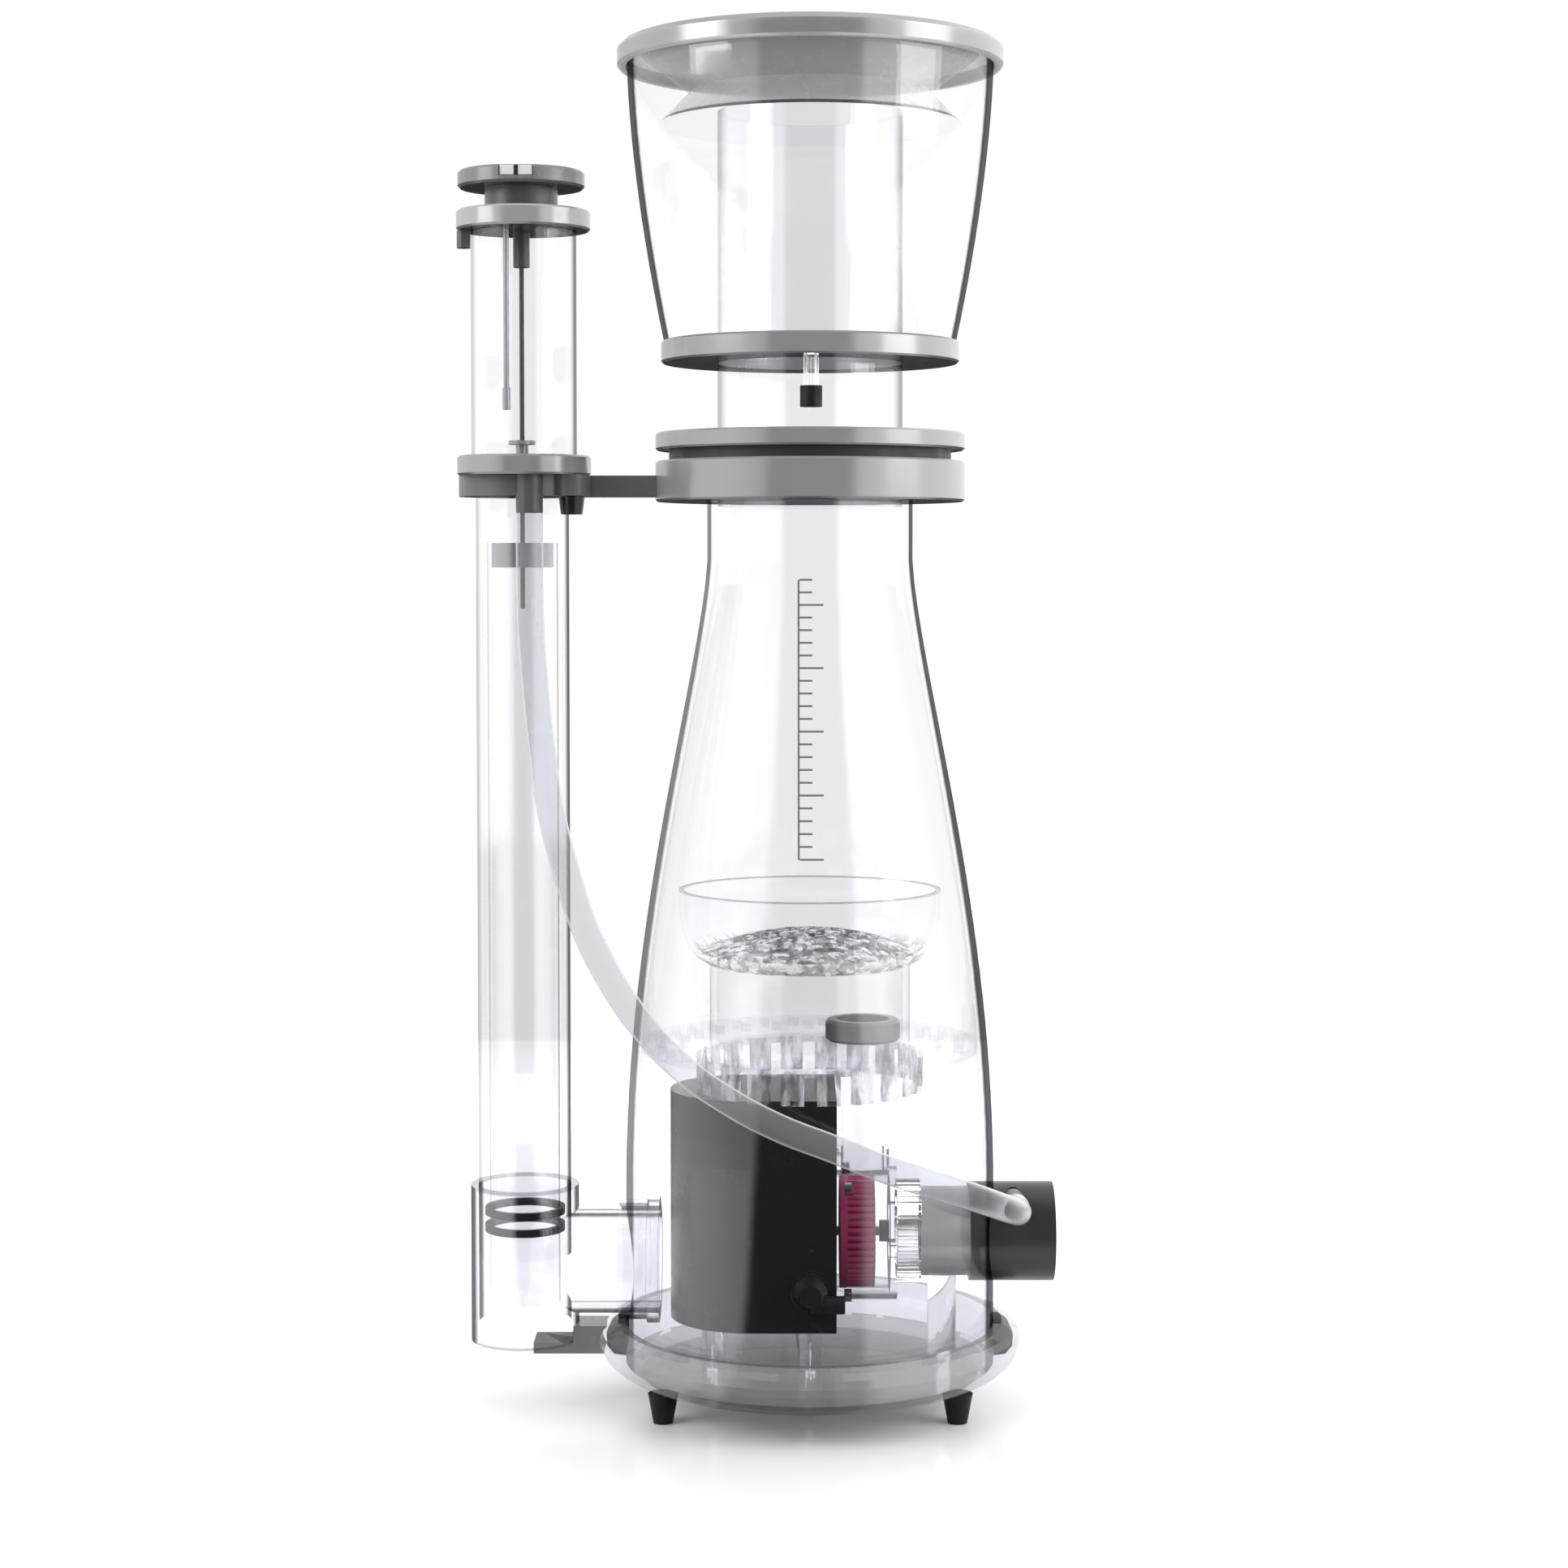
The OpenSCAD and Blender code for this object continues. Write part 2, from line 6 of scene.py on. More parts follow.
import bpy
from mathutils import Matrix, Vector


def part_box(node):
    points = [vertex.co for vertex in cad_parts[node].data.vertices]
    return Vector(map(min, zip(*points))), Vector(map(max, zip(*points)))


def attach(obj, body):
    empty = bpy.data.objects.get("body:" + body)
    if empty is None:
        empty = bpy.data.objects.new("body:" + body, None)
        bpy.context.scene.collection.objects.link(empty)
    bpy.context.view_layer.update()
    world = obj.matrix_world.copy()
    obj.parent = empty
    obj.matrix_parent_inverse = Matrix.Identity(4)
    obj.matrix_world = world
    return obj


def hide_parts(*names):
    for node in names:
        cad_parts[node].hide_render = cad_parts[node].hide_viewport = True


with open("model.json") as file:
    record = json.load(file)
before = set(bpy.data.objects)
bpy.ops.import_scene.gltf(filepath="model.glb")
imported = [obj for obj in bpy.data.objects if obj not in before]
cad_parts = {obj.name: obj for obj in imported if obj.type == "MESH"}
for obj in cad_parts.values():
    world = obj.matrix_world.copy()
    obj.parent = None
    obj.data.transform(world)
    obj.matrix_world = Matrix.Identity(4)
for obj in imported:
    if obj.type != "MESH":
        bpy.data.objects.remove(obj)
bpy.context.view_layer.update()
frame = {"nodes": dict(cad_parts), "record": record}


def middle(node):
    low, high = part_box(node)
    return Vector([(a + b) / 2 for a, b in zip(low, high)])


def half_width(node):
    low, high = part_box(node)
    return (high[0] - low[0]) / 2


BODY_AXIS = middle("collar_ring").x
PIPE_AXIS = middle("standpipe").x

# ---- Camera: in front of the body axis, dipped a few degrees, with a small lens shift.
# Metres, except the lens and sensor in millimetres ----

CAMERA_BACK = 1.240
CAMERA_HEIGHT = 0.345
CAMERA_LEFT = 0.0107
SENSOR = 36
LENS = 68.94
DIP_DEGREES = 2.62
FRAME_SHIFT = -0.0474

camera_data = bpy.data.cameras.new("camera")
camera_data.sensor_width = SENSOR
camera_data.lens = LENS
camera_data.shift_y = FRAME_SHIFT
camera = bpy.data.objects.new("camera", camera_data)
camera.location = (BODY_AXIS - CAMERA_LEFT, -CAMERA_BACK, CAMERA_HEIGHT)
camera.rotation_euler = (math.radians(90 - DIP_DEGREES), 0, 0)
bpy.context.collection.objects.link(camera)
bpy.context.scene.camera = camera

# ---- Air hose: the route of part.scad, about the body axis, in metres ----

HOSE_DIAMETER = 0.011
HOSE_ROUTE = [
    (-0.1135, -0.025, 0.369), (-0.1135, -0.025, 0.350), (-0.113, -0.027, 0.325),
    (-0.111, -0.031, 0.300), (-0.108, -0.036, 0.275), (-0.104, -0.042, 0.250),
    (-0.098, -0.048, 0.228), (-0.090, -0.055, 0.205), (-0.080, -0.061, 0.186),
    (-0.067, -0.068, 0.168), (-0.051, -0.075, 0.152), (-0.033, -0.081, 0.140),
    (-0.013, -0.085, 0.130), (0.008, -0.086, 0.122), (0.028, -0.085, 0.114),
    (0.046, -0.079, 0.107), (0.063, -0.070, 0.100), (0.076, -0.057, 0.093),
    (0.083, -0.042, 0.088), (0.084, -0.032, 0.086), (0.084, -0.024, 0.086),
]
hose_points = [Vector((x + BODY_AXIS, y, z)) for x, y, z in HOSE_ROUTE]


def hose_curve(name, points, radius):
    """A round tube along one smooth spline through the points. The knots carry the radius,
    because a curve's bounding box grows by it."""
    data = bpy.data.curves.new(name, "CURVE")
    data.dimensions = "3D"
    spline = data.splines.new("BEZIER")
    spline.bezier_points.add(len(points) - 1)
    for knot, point in zip(spline.bezier_points, points):
        knot.co = point
        knot.handle_left_type = knot.handle_right_type = "AUTO"
        knot.radius = radius
    spline.resolution_u = 10
    data.bevel_depth = 1.0
    data.bevel_resolution = 7
    data.use_fill_caps = True
    obj = bpy.data.objects.new(name, data)
    bpy.context.collection.objects.link(obj)
    return obj


hose = hose_curve("hose", hose_points, HOSE_DIAMETER / 2)
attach(hose, "main")
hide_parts("air_hose")

# ---- Materials ----

NOISE_LOW, NOISE_HIGH = 0.3, 0.7
SKIN = 0.0002


class Shader:
    """Short calls for adding and joining the nodes of a new material or of the world."""

    def __init__(self, owner, output="OutputMaterial"):
        owner.use_nodes = True
        self.owner = owner
        self.tree = owner.node_tree
        self.tree.nodes.clear()
        self.output = self.add(output)

    def add(self, kind, **inputs):
        node = self.tree.nodes.new("ShaderNode" + kind)
        for key, value in inputs.items():
            self.put(node.inputs[key.replace("_", " ")], value)
        return node

    def put(self, socket, value):
        if isinstance(value, bpy.types.NodeSocket):
            self.tree.links.new(value, socket)
        else:
            socket.default_value = value

    def math(self, operation, a, b=0.0, c=None):
        node = self.add("Math")
        node.operation = operation
        for socket, value in zip(node.inputs, (a, b) if c is None else (a, b, c)):
            self.put(socket, value)
        return node.outputs[0]

    def times(self, first, *others):
        for other in others:
            first = self.math("MULTIPLY", first, other)
        return first

    def inverse(self, value):
        return self.math("SUBTRACT", 1.0, value)

    def vector(self, operation, a, b):
        node = self.add("VectorMath")
        node.operation = operation
        self.put(node.inputs[0], a)
        self.put(node.inputs[1], b)
        return node.outputs

    def ramp(self, value, low, high, to_low=0.0, to_high=1.0, smooth=False):
        node = self.add("MapRange", Value=value, From_Min=low, From_Max=high, To_Min=to_low,
                        To_Max=to_high)
        node.interpolation_type = "SMOOTHSTEP" if smooth else "LINEAR"
        return node.outputs[0]

    def where(self):
        return self.add("TexCoord").outputs["Object"]

    def place(self):
        return self.add("SeparateXYZ", Vector=self.where()).outputs

    def noise(self, scale, detail, rough=0.5, where=None):
        return self.add("TexNoise", Vector=where or self.where(), Scale=scale, Detail=detail,
                        Roughness=rough).outputs["Fac"]

    def bump(self, height, strength, distance):
        return self.add("Bump", Height=height, Strength=strength,
                        Distance=distance).outputs["Normal"]

    def roughen(self, surface, height, rough, share):
        """Roughness that wanders about a middle value by a share of it."""
        self.put(surface.inputs["Roughness"],
                 self.ramp(height, NOISE_LOW, NOISE_HIGH, rough * (1 - share), rough * (1 + share)))

    def blend_colour(self, fac, a, b):
        node = self.add("Mix")
        node.data_type = "RGBA"
        colour_a, colour_b = node.inputs[6], node.inputs[7]
        self.put(node.inputs[0], fac)
        self.put(colour_a, a if isinstance(a, bpy.types.NodeSocket) else (*a, 1))
        self.put(colour_b, b if isinstance(b, bpy.types.NodeSocket) else (*b, 1))
        return node.outputs[2]

    def mix(self, fac, a, b):
        node = self.add("MixShader")
        for socket, value in zip(node.inputs, (fac, a, b)):
            self.put(socket, value)
        return node.outputs[0]

    def normal_z(self):
        normal = self.add("NewGeometry").outputs["True Normal"]
        return self.add("SeparateXYZ", Vector=normal).outputs["Z"]

    def front(self):
        return self.inverse(self.add("NewGeometry").outputs["Backfacing"])

    def facing(self):
        """0 where a surface is seen square on, 1 where it is seen edge on."""
        return self.add("LayerWeight", Blend=0.5).outputs["Facing"]

    def finish(self, surface):
        self.tree.links.new(surface, self.output.inputs["Surface"])
        return self.owner


def material(name):
    return Shader(bpy.data.materials.new(name))


def shade(colour, factor):
    return tuple(min(1, c * factor) for c in colour)


def flow_marks(s, colour):
    """The colour with the faint cloudy flow marks of a moulding."""
    return s.blend_colour(s.noise(14, 4), shade(colour, 0.94), shade(colour, 1.06))


BLEED_DEPTH = 0.012


def moulded(name, colour, rough, relief=0.05, ior=1.5, under=None, glow=0.0):
    """Moulded plastic or rubber: faint flow marks in colour and gloss, and a fine skin grain.
    A plate's under side may carry its own painted tone (painted shade when darker, painted light
    when lighter), and let light bleed through it."""
    s = material(name)
    tone = flow_marks(s, colour)
    # Painted tone on faces that look downwards: painted shade under the grey plates, painted light
    # under the lid
    if under:
        tone = s.blend_colour(s.ramp(s.normal_z(), -0.9, -0.6, 1.0, 0.0), tone, under)
    surface = s.add("BsdfPrincipled", Base_Color=tone, IOR=ior,
                    Normal=s.bump(s.noise(2600, 2), relief, SKIN))
    if glow:
        surface.inputs["Subsurface Weight"].default_value = glow
        surface.inputs["Subsurface Radius"].default_value = (1, 1, 1)
        surface.inputs["Subsurface Scale"].default_value = BLEED_DEPTH
    s.roughen(surface, s.noise(180, 4), rough, 0.14)
    return s.finish(surface.outputs[0])


def painted_side_shading(name, x_left, x_right, left, right, rough, ior=1.5):
    """Satin plastic with painted light and shade: its colour runs from one tone at its -X side to
    another at its +X side, as if one side were lit more.
    """
    s = material(name)
    near = s.math("POWER", s.ramp(s.place()["X"], x_left, x_right, 1.0, 0.0), 2.0)
    tone = s.blend_colour(near, flow_marks(s, right), flow_marks(s, left))
    surface = s.add("BsdfPrincipled", Base_Color=tone, IOR=ior,
                    Normal=s.bump(s.noise(500, 2), 0.005, SKIN))
    s.roughen(surface, s.noise(60, 4), rough, 0.14)
    return s.finish(surface.outputs[0])


def brushed(name, colour, rough):
    """Bare metal with fine scratches."""
    s = material(name)
    scratches = s.noise(900, 6, 0.7)
    surface = s.add("BsdfPrincipled", Metallic=1.0, Normal=s.bump(scratches, 0.12, SKIN),
                    Base_Color=s.blend_colour(scratches, shade(colour, 0.85), colour))
    s.roughen(surface, scratches, rough, 0.3)
    return s.finish(surface.outputs[0])


def outer_side(s, axis):
    """1 where a ray meets the outer side of a wall of revolution from outside, else 0."""
    radial = s.vector("SUBTRACT", s.where(), (axis[0], axis[1], 0))["Vector"]
    flat = s.vector("MULTIPLY", radial, (1, 1, 0))["Vector"]
    normal = s.add("NewGeometry").outputs["True Normal"]
    outward = s.vector("DOT_PRODUCT", flat, normal)["Value"]
    return s.times(s.math("GREATER_THAN", outward, 0.0), s.front())


CLEAR_TINT = (0.99, 0.991, 0.996)
MOULDED_TINT = (0.985, 0.987, 0.993)
# Dark colour for painted shade at clear edges and rims, and for the bowl's machining marks
EDGE_SHADE_AND_MARKS = (0.03, 0.03, 0.036)
MIRROR_SQUARE_ON = 0.045
MIRROR_EDGE_ON = 0.10


def glazed(s, colour, darkness):
    """See-through colour under a weak mirror, weaker still where the wall is dark."""
    gloss = s.add("BsdfGlossy", Color=(1, 1, 1, 1), Normal=s.bump(s.noise(22, 2), 0.03, 0.002))
    s.roughen(gloss, s.noise(60, 3), 0.05, 0.4)
    through = s.add("BsdfTransparent", Color=colour)
    grazing = s.math("POWER", s.facing(), 5.0)
    mirror = s.math("MULTIPLY_ADD", grazing, MIRROR_EDGE_ON, MIRROR_SQUARE_ON)
    keep = s.math("MULTIPLY_ADD", darkness, -0.8, 1.0)
    return s.mix(s.times(mirror, keep), through.outputs[0], gloss.outputs[0])


def shine_through(s, seen, colour):
    """Lamps and soft light pass with this colour, while all other rays see the surface."""
    rays = s.add("LightPath").outputs
    lighting = s.math("MAXIMUM", rays["Is Shadow Ray"], rays["Is Diffuse Ray"])
    cast = s.add("BsdfTransparent", Color=colour)
    return s.mix(lighting, seen, cast.outputs[0])


def clear_wall(name, axis, start, end, depth=0.95, left=1.0, radius=0.05):
    """A thin clear wall of revolution about an upright axis. Its outer face carries painted shade
    at the rim, between the start and end facing values, where the wall is seen edge on; it stands
    in for the dark that refraction shows there. The painted shade at the -X rim may be fainter than
    at the +X rim."""
    s = material(name)
    outer = outer_side(s, axis)
    facing = s.facing()
    across = s.math("SUBTRACT", s.place()["X"], axis[0])
    side = s.ramp(across, -radius / 2, radius / 2, left, 1.0)
    core = s.times(s.ramp(facing, end, end + 0.06), s.ramp(facing, 0.86, 0.93, 1.0, 0.0))
    rim = s.times(s.ramp(facing, start, end, smooth=True),
                  s.math("MULTIPLY_ADD", core, -0.05, 1.0))
    inner_rim = s.times(s.ramp(facing, 0.93, 1.0, smooth=True), 0.25)
    both = s.math("ADD", s.times(rim, outer, depth), s.times(inner_rim, s.inverse(outer)))
    # Painted shade at the rim, fainter on the -X side
    darkness = s.times(side, both)
    return s.finish(glazed(s, s.blend_colour(darkness, CLEAR_TINT, EDGE_SHADE_AND_MARKS), darkness))


def thin_clear(name, tint, start, end, depth, level_tint=None, smoke=0.0, edges=()):
    """A thin clear moulding with painted shade where it is seen edge on, except on level faces, and
    painted dark lines along edges at given heights; both stand in for the dark that refraction
    shows there. Level faces may carry their own tint and shade what is below, and the moulding may
    be smoky."""
    s = material(name)
    level = s.ramp(s.math("ABSOLUTE", s.normal_z()), 0.985, 0.995)
    # Painted shade where the moulding is seen edge on, and painted dark lines along its edges
    rim = s.times(s.ramp(s.facing(), start, end, smooth=True), depth)
    front = s.front()
    darkness = s.times(rim, front, s.inverse(level))
    for edge in edges:
        away = s.math("ABSOLUTE", s.math("SUBTRACT", s.place()["Z"], edge))
        line = s.times(s.ramp(away, 0.0008, 0.0014, 0.45, 0.0), front)
        darkness = s.math("MAXIMUM", darkness, line)
    colour = s.blend_colour(darkness, tint, EDGE_SHADE_AND_MARKS)
    if not level_tint:
        return s.finish(glazed(s, colour, darkness))
    clear = glazed(s, s.blend_colour(level, colour, level_tint), darkness)
    cloud = s.blend_colour(s.noise(20, 3), (0.52,) * 3, (0.64,) * 3)
    haze = s.add("BsdfPrincipled", Base_Color=cloud, Roughness=0.25)
    seen = s.mix(smoke, clear, haze.outputs[0])
    return s.finish(shine_through(s, seen, s.blend_colour(level, (0.97,) * 3, (0.30,) * 3)))


def perforated(name, axis, radius, rim_z):
    """A clear bowl: a painted dark line along its rim, standing in for refraction, and machining
    marks out to a radius with painted glints among them.
    """
    s = material(name)
    place = s.place()
    dx = s.math("SUBTRACT", place["X"], axis[0])
    dy = s.math("SUBTRACT", place["Y"], axis[1])
    reach = s.math("SQRT", s.math("ADD", s.times(dx, dx), s.times(dy, dy)))
    inside = s.ramp(reach, radius - 0.002, radius + 0.002, 1.0, 0.0)
    marks = s.times(s.ramp(s.noise(190, 3), 0.47, 0.55), inside, 0.5)
    # Painted shade along the rim, standing in for refraction
    line = s.times(s.ramp(place["Z"], rim_z - 0.0007, rim_z - 0.0005), 0.3)
    dark = s.math("MAXIMUM", marks, line)
    bright = s.add("BsdfPrincipled", Base_Color=(0.95, 0.95, 0.97, 1), Roughness=0.25,
                   Normal=s.bump(s.noise(300, 3), 0.3, 0.001))
    # Painted glints: bright specks of a white surface among the marks
    glints = s.times(s.ramp(s.noise(210, 2), 0.56, 0.60), inside, 0.7)
    clear = glazed(s, s.blend_colour(dark, MOULDED_TINT, EDGE_SHADE_AND_MARKS), s.inverse(inside))
    return s.finish(s.mix(glints, clear, bright.outputs[0]))


def frosty(name, split_z):
    """Clear acrylic with machining marks: lightly marked above a height, and below it marked with
    bright and dark patches, which are partly real frosting and partly painted glints and painted
    shade.
    """
    s = material(name)
    upright = s.vector("MULTIPLY", s.where(), (1, 1, 0.35))["Vector"]
    marks = s.noise(260, 3, where=upright)
    shades = s.noise(170, 2, where=upright)
    low = s.ramp(s.place()["Z"], split_z - 0.0005, split_z + 0.0005, 0.5, 0.05)
    cover = s.times(s.ramp(marks, 0.40, 0.58), low)
    # Bright tone as painted glints, dark tone as painted shade, among the machining marks
    tone = s.blend_colour(s.ramp(shades, 0.44, 0.56), (0.10, 0.10, 0.11), (0.95, 0.95, 0.97))
    rough = s.add("BsdfPrincipled", Base_Color=tone, Roughness=0.25,
                  Normal=s.bump(marks, 0.3, 0.001))
    clear = glazed(s, (0.97, 0.972, 0.98, 1), cover)
    return s.finish(s.mix(cover, clear, rough.outputs[0]))


def solid_clear(name, colour, rough):
    """Thick clear acrylic that bends what is behind it. Lamps and soft light shine through it."""
    s = material(name)
    glass = s.add("BsdfPrincipled", Base_Color=(*colour, 1), IOR=1.49,
                  Normal=s.bump(s.noise(40, 2), 0.05, 0.001))
    glass.inputs["Transmission Weight"].default_value = 1.0
    s.roughen(glass, s.noise(90, 3), rough, 0.5)
    return s.finish(shine_through(s, glass.outputs[0], (0.97, 0.97, 0.97, 1)))


def cloudy(s, colour, rough):
    """The cloudy part of a milky or frosted wall."""
    body = s.add("BsdfPrincipled", Base_Color=colour, Normal=s.bump(s.noise(1400, 2), 0.05, SKIN))
    s.roughen(body, s.noise(160, 3), rough, 0.2)
    return body.outputs[0]


def milky(name, colour, centre, rim, rough):
    """A cloudy see-through wall whose cover changes from its middle to its edges."""
    s = material(name)
    tone = s.blend_colour(s.noise(30, 3), shade(colour, 0.97), colour)
    clear = s.add("BsdfTransparent", Color=(0.82, 0.825, 0.84, 1))
    cover = s.ramp(s.facing(), 0.35, 0.95, centre, rim, smooth=True)
    return s.finish(s.mix(cover, clear.outputs[0], cloudy(s, tone, rough)))


def frosted(name, colour, axis, edge_z, centre, rim, rough):
    """A frosted shell of revolution: cloudy on its outer side, clear inside, dark along its lip."""
    s = material(name)
    lip = s.ramp(s.place()["Z"], edge_z + 0.0012, edge_z + 0.0020, 1.0, 0.0)
    tone = s.blend_colour(s.noise(30, 3), shade(colour, 0.95), colour)
    body = cloudy(s, s.blend_colour(lip, tone, (0.02, 0.02, 0.022)), rough)
    clear = s.add("BsdfTransparent", Color=(0.97, 0.975, 0.98, 1))
    cover = s.math("MAXIMUM", s.ramp(s.facing(), 0.25, 0.9, centre, rim, smooth=True),
                   s.times(lip, 0.95))
    cover = s.times(cover, outer_side(s, axis))
    return s.finish(s.mix(cover, clear.outputs[0], body))


AXIS = (BODY_AXIS, 0)
PALE_GREY = (0.25, 0.252, 0.265)
# Painted shade for the under sides of the grey plates, the cap and the knob
UNDERSIDE_SHADE = (0.03, 0.03, 0.032)
SHINY = 2.2
MATERIALS = {
    "light_grey_plastic": moulded("light_grey_plastic", PALE_GREY, 0.20, ior=SHINY, under=UNDERSIDE_SHADE),
    "dark_grey_plastic": moulded("dark_grey_plastic", (0.08, 0.08, 0.085), 0.32),
    "spindle_plastic": moulded("spindle_plastic", (0.06, 0.06, 0.065), 0.35),
    # Painted shading: the motor lighter towards -X, as if lit from that side
    "motor_housing": painted_side_shading("motor_housing", BODY_AXIS - 0.056, BODY_AXIS - 0.019,
                           (0.115, 0.115, 0.12), (0.013, 0.013, 0.014), 0.25, ior=1.30),
    "black_plastic": moulded("black_plastic", (0.012, 0.012, 0.013), 0.30),
    "black_rubber": moulded("black_rubber", (0.006, 0.006, 0.007), 0.55, relief=0.12, ior=1.35),
    "dark_rubber": moulded("dark_rubber", (0.03, 0.03, 0.033), 0.55, relief=0.12),
    "magenta_plastic": moulded("magenta_plastic", (0.42, 0.024, 0.13), 0.45),
    "coated_magnet": moulded("coated_magnet", (0.03, 0.03, 0.035), 0.35),
    "stainless_steel": brushed("stainless_steel", (0.62, 0.62, 0.64), 0.22),
    "bush_plastic": moulded("bush_plastic", (0.02, 0.02, 0.022), 0.3),
    "frosted_plastic": frosted("frosted_plastic", (0.48, 0.485, 0.50), AXIS,
                               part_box("lid_deflector")[0][2], centre=0.93, rim=0.50, rough=0.25),
    "clear_acrylic": solid_clear("clear_acrylic", (0.97, 0.975, 0.985), 0.02),
    "silicone_hose": milky("silicone_hose", (0.90, 0.91, 0.93), centre=0.10, rim=0.85,
                           rough=0.22),
}

# ---- Nodes whose look differs from the rest of their slot ----

PIPE_WALL = (PIPE_AXIS, 0)
PIPE_RADIUS = 0.02
SPECKLED_RADIUS = 0.047
CROWN_BELOW_TOP = 0.0055
# Clear mouldings with painted shade at their edges, standing in for refraction where they are seen
# edge on
OUTLINE = {"tint": MOULDED_TINT, "start": 0.48, "end": 0.68, "depth": 0.9}
outline = thin_clear("clear_moulding", **OUTLINE)
OWN_LOOK = {
    # Clear walls with painted shade at their rims, standing in for refraction
    "body_shell": clear_wall("clear_body", AXIS, 0.69, 0.76, left=0.85),
    "cup_wall": clear_wall("clear_cup", AXIS, 0.70, 0.76, depth=0.97),
    "cup_neck": clear_wall("clear_neck", AXIS, 0.52, 0.80, depth=0.6, left=0.8),
    "diffuser_tube": clear_wall("clear_drum", AXIS, 0.7, 0.98, depth=0.4),
    "discharge_tube": clear_wall("clear_riser", middle("discharge_tube"), 0.7, 0.98, depth=0.35),
    "standpipe": clear_wall("clear_pipe", PIPE_WALL, 0.50, 0.74, 0.9, 0.4, PIPE_RADIUS),
    "gate_pipe": clear_wall("clear_gate", PIPE_WALL, 0.6, 0.85, 0.6, 0.5, PIPE_RADIUS),
    "silencer_tube": clear_wall("clear_silencer", middle("silencer_tube"), 0.50, 0.74, 0.8, 0.45,
                                PIPE_RADIUS),
    "outlet_tee": thin_clear("clear_tee", **OUTLINE,
                             edges=[corner[2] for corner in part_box("outlet_tee")]),
    "outlet_nut": outline,
    "outlet_grommet": outline,
    "volute": outline,
    "bubble_plate": frosty("machined_acrylic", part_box("bubble_plate")[1][2] - CROWN_BELOW_TOP),
    "diffuser_bowl": perforated("perforated_acrylic", AXIS, SPECKLED_RADIUS,
                                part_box("diffuser_bowl")[1][2]),
    "base_dish": thin_clear("smoked_dish", (0.92, 0.925, 0.94), start=0.90, end=1.0, depth=0.2,
                            level_tint=(0.40, 0.405, 0.42), smoke=0.16),
    "collar_arm": moulded("arm_plastic", (0.12, 0.12, 0.125), 0.32),
    "intake_housing": moulded("housing_plastic", (0.033, 0.033, 0.035), 0.32),
    # The cap and the knob get painted shade on their under sides
    "silencer_cap": moulded("cap_plastic", (0.33, 0.332, 0.345), 0.20, ior=SHINY, under=UNDERSIDE_SHADE),
    "knob_disc": moulded("knob_plastic", (0.17, 0.172, 0.18), 0.25, ior=1.7, under=UNDERSIDE_SHADE),
    # Painted shading: the coupling ring darker at -X, lighter at +X
    "coupling_ring": painted_side_shading("coupling_plastic", BODY_AXIS + 0.006, BODY_AXIS + 0.032,
                           (0.04, 0.04, 0.042), (0.24, 0.24, 0.25), 0.35),
    "tee_foot": moulded("smoked_foot", (0.24, 0.242, 0.25), 0.25),
    # The lid's under side gets painted light: a pale tone standing in for light reaching it
    "lid": moulded("lid_plastic", PALE_GREY, 0.20, ior=SHINY, under=(0.88, 0.885, 0.90),
                   glow=0.8),
}

slot_of = {part["node"]: part["material_slot"] for part in frame["record"]["subparts"]}


def set_material(obj, finish):
    for index in range(len(obj.material_slots)):
        obj.material_slots[index].material = finish


for node, obj in frame["nodes"].items():
    set_material(obj, OWN_LOOK.get(node) or MATERIALS[slot_of[node]])
hose.data.materials.append(MATERIALS["silicone_hose"])

# ---- Base blocks: they share faces with the clear dish, so they are redrawn a hair larger ----

LUG_GROWTH = 0.0002
lugs = bpy.data.objects.new("base_lugs_proud", frame["nodes"]["base_lugs"].data.copy())
bpy.context.collection.objects.link(lugs)
for vertex in lugs.data.vertices:
    vertex.co += vertex.normal * LUG_GROWTH
set_material(lugs, MATERIALS["black_rubber"])
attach(lugs, "main")
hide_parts("base_lugs")

# ---- Printed level scale on the front of the body ----

BODY_R = half_width("body_shell")
NECK_R = 0.0423
BELL_LOW = 0.090
BELL_HIGH = 0.350
BELL_SWELL = 0.72
INK_LIFT = 0.00015
SCALE_LOW = 0.232
SCALE_HIGH = 0.342
SCALE_X = -0.0045
LINE_WIDTH = 0.0008
TICKS = 22
LONG_TICK = 0.0095
SHORT_TICK = 0.005


def body_radius(z):
    w = min(1, max(0, (BELL_HIGH - z) / (BELL_HIGH - BELL_LOW))) ** BELL_SWELL
    return NECK_R + (BODY_R - NECK_R) * (3 * w * w - 2 * w ** 3)


def ink_patch(verts, faces, x_low, x_high, z_low, z_high, columns=8, rows=2):
    """Adds a thin printed patch that follows the front of the body."""
    start = len(verts)
    for j in range(rows + 1):
        z = z_low + (z_high - z_low) * j / rows
        r = body_radius(z) + INK_LIFT
        for i in range(columns + 1):
            x = x_low + (x_high - x_low) * i / columns
            verts.append((BODY_AXIS + x, -math.sqrt(r * r - x * x), z))
    for j in range(rows):
        for i in range(columns):
            a = start + j * (columns + 1) + i
            faces.append((a, a + 1, a + columns + 2, a + columns + 1))


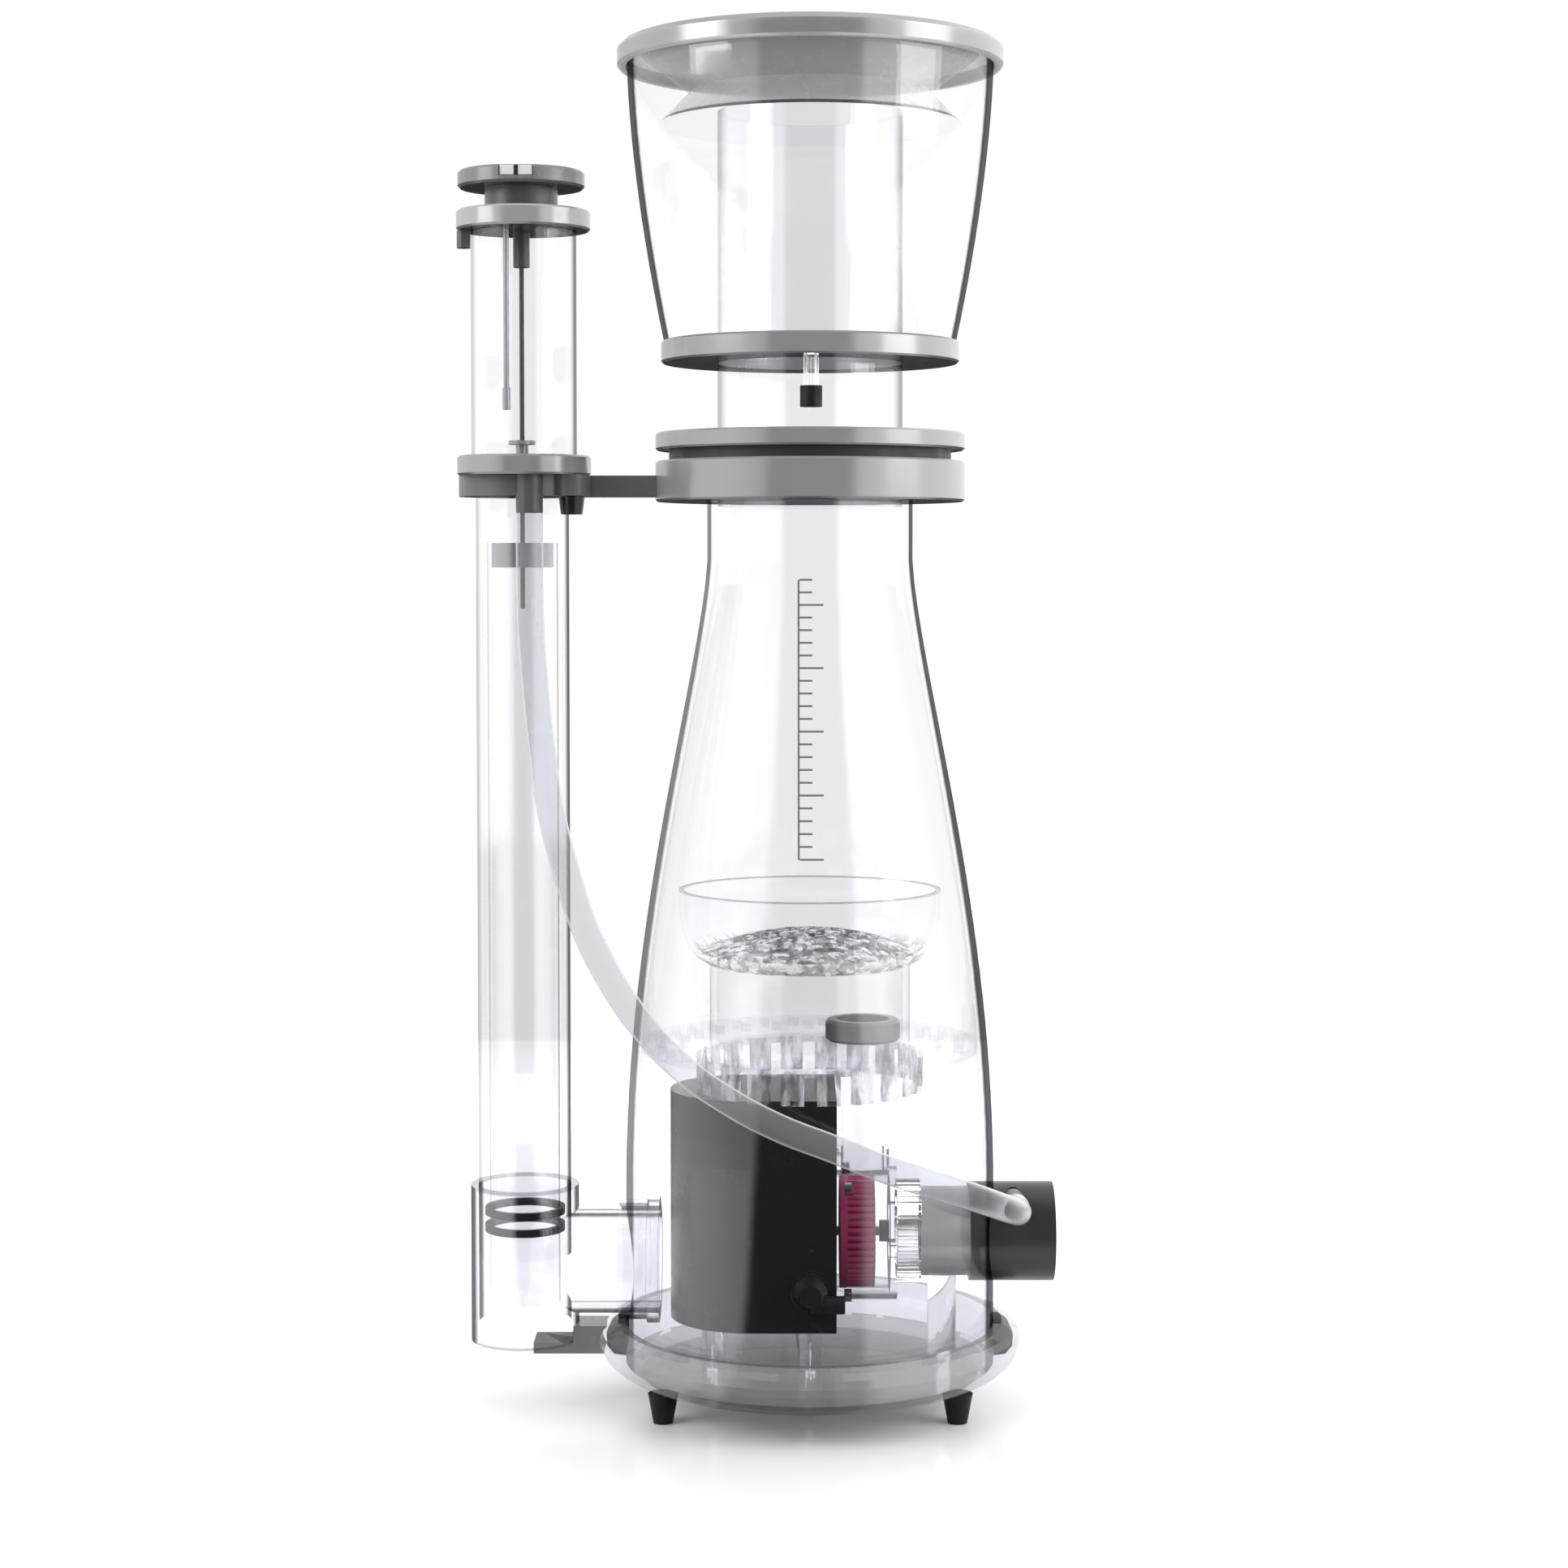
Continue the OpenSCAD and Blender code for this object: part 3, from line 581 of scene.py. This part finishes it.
verts, faces = [], []
for k in range(TICKS + 1):
    z = SCALE_LOW + (SCALE_HIGH - SCALE_LOW) * k / TICKS
    tick = LONG_TICK if k % 5 == 0 else SHORT_TICK
    ink_patch(verts, faces, SCALE_X, SCALE_X + tick, z - LINE_WIDTH / 2, z + LINE_WIDTH / 2)
ink_patch(verts, faces, SCALE_X - LINE_WIDTH, SCALE_X, SCALE_LOW, SCALE_HIGH, 2, 60)
scale_mesh = bpy.data.meshes.new("level_scale")
scale_mesh.from_pydata(verts, [], faces)
scale_mesh.materials.append(moulded("scale_ink", (0.16, 0.16, 0.17), 0.5))
level_scale = bpy.data.objects.new("level_scale", scale_mesh)
bpy.context.collection.objects.link(level_scale)
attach(level_scale, "main")

# ---- Knob label: a pale insert with a dark pointer in the notch at the knob's rim ----

KNOB_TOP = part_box("knob_disc")[1][2]
NOTCH_BACK = 0.0024 - half_width("knob_disc")
LABEL_LOW = KNOB_TOP - 0.0043
LABEL_HIGH = KNOB_TOP - 0.0003
SOFT_EDGE = 0.0003


def label_block(name, half, front, back, colour):
    """A small block in the knob's notch, with softened edges. Front and back are its faces'
    distances in front of the notch's back."""
    corners = [(-half, -front), (half, -front), (half, -back), (-half, -back)]
    data = bpy.data.meshes.new(name)
    data.from_pydata([(PIPE_AXIS + x, NOTCH_BACK + y, z)
                      for z in (LABEL_LOW, LABEL_HIGH) for x, y in corners], [],
                     [(3, 2, 1, 0), (4, 5, 6, 7), (0, 1, 5, 4), (1, 2, 6, 5), (2, 3, 7, 6),
                      (3, 0, 4, 7)])
    data.materials.append(moulded(name + "_plastic", colour, 0.3))
    block = bpy.data.objects.new(name, data)
    bpy.context.collection.objects.link(block)
    soften = block.modifiers.new("edges", "BEVEL")
    soften.width = SOFT_EDGE
    soften.segments = 2
    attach(block, "knob")
    return block


label = label_block("knob_label", 0.0066, 0.0009, 0.00005, (0.75, 0.75, 0.77))
pointer = label_block("knob_pointer", 0.0009, 0.0012, 0.0006, (0.02, 0.02, 0.022))

# ---- Studio floor: pale, fading into a white surround. Bounced light sees it dark everywhere,
# and reflections see it dark behind the object and in a strip towards the camera's side ----

FLOOR_RADIUS = 2.6
FLOOR_SIDES = 96
FLOOR_CLEAR = (0.55, 1.1)
DARK_BEHIND = (0.2, 0.4)
STRIP_INNER = 0.58
STRIP_OUTER = 0.72


def aside(s, x, y):
    """How far a place or direction lies aside of -Y, as a slope: 0 is straight ahead of it."""
    ahead = s.math("MAXIMUM", s.times(y, -1.0), 0.001)
    return s.math("DIVIDE", s.math("ABSOLUTE", x), ahead)


floor_data = bpy.data.meshes.new("floor")
turns = [math.tau * k / FLOOR_SIDES for k in range(FLOOR_SIDES)]
floor_data.from_pydata([(FLOOR_RADIUS * math.cos(a), FLOOR_RADIUS * math.sin(a), 0)
                        for a in turns], [], [tuple(range(FLOOR_SIDES))])
floor = bpy.data.objects.new("floor", floor_data)
bpy.context.collection.objects.link(floor)
s = material("floor_gloss")
place = s.place()
reach = s.vector("LENGTH", s.where(), (0, 0, 0))["Value"]
near = s.add("BsdfPrincipled", Base_Color=(0.93, 0.935, 0.955, 1), Roughness=0.16, IOR=1.28)
white = s.add("Emission", Color=(1, 1, 1, 1), Strength=1.0)
pale = s.mix(s.ramp(reach, *FLOOR_CLEAR, smooth=True), near.outputs[0], white.outputs[0])
rays = s.add("LightPath").outputs
dim = s.blend_colour(rays["Is Glossy Ray"], (0.18, 0.18, 0.185), (0.02,) * 3)
dark = s.add("BsdfDiffuse", Color=dim)
in_strip = s.ramp(aside(s, place["X"], place["Y"]), STRIP_INNER, STRIP_OUTER, 1.0, 0.0)
mirrored_dark = s.math("MAXIMUM", s.ramp(place["Y"], *DARK_BEHIND), in_strip)
darkened = s.math("MAXIMUM", rays["Is Diffuse Ray"],
                  s.times(rays["Is Glossy Ray"], mirrored_dark))
floor_data.materials.append(s.finish(s.mix(darkened, pale, dark.outputs[0])))

# ---- World: white to the camera. Reflections and bounced light see a dark strip on the camera's
# side, brighter sides, more so at the right, and darkness behind, below the horizon ----

world = bpy.data.worlds.new("studio")
bpy.context.scene.world = world
s = Shader(world, "OutputWorld")
ray = s.add("SeparateXYZ", Vector=s.add("TexCoord").outputs["Generated"]).outputs
strip = s.ramp(aside(s, ray["X"], ray["Y"]), STRIP_INNER, STRIP_OUTER, 0.03, 1.0, smooth=True)
right = s.ramp(ray["X"], -0.4, 1.0, 0.92, 1.8, smooth=True)
left = s.ramp(ray["X"], -1.0, -0.4, 1.4, 1.0, smooth=True)
behind = s.times(s.ramp(ray["Y"], 0.86, 0.94, smooth=True),
                 s.ramp(ray["Z"], -0.012, 0.0, 1.0, 0.0, smooth=True))
mirrored = s.times(strip, right, left, s.inverse(s.times(behind, 0.95)))
soft = s.add("Background", Color=(0.985, 0.985, 1.0, 1), Strength=mirrored)
plain = s.add("Background", Color=(1, 1, 1, 1), Strength=1.0)
rays = s.add("LightPath").outputs
seen = s.math("MAXIMUM", rays["Is Camera Ray"], rays["Is Transmission Ray"])
s.finish(s.mix(seen, soft.outputs[0], plain.outputs[0]))

# ---- Lamps ----

BODY_MIDDLE = (0, 0, 0.3)
CUP_TOP = (0, 0, 0.55)


def softbox(name, place, target, size, power, mirror=True):
    """A square area lamp aimed at a point. Reflections see it only when mirror is true."""
    light = bpy.data.lights.new(name, "AREA")
    light.shape = "SQUARE"
    light.size = size
    light.energy = power
    lamp = bpy.data.objects.new(name, light)
    lamp.location = place
    lamp.rotation_euler = (Vector(target) - Vector(place)).to_track_quat("-Z", "Y").to_euler()
    lamp.visible_glossy = mirror
    bpy.context.collection.objects.link(lamp)


softbox("key_left", (-1.5, -0.7, 1.1), BODY_MIDDLE, 0.9, 13)
softbox("fill_right", (1.5, -0.5, 0.9), BODY_MIDDLE, 0.9, 9)
softbox("fill_front", (0, -1.9, 0.5), BODY_MIDDLE, 1.2, 10, mirror=False)
softbox("fill_back", (0, 1.0, 0.08), CUP_TOP, 0.8, 12, mirror=False)

# Many clear walls stand behind each other, so light needs many bounces
scene = bpy.context.scene
scene.view_settings.view_transform = "Standard"
scene.cycles.max_bounces = 20
scene.cycles.transmission_bounces = 20
scene.cycles.transparent_max_bounces = 48
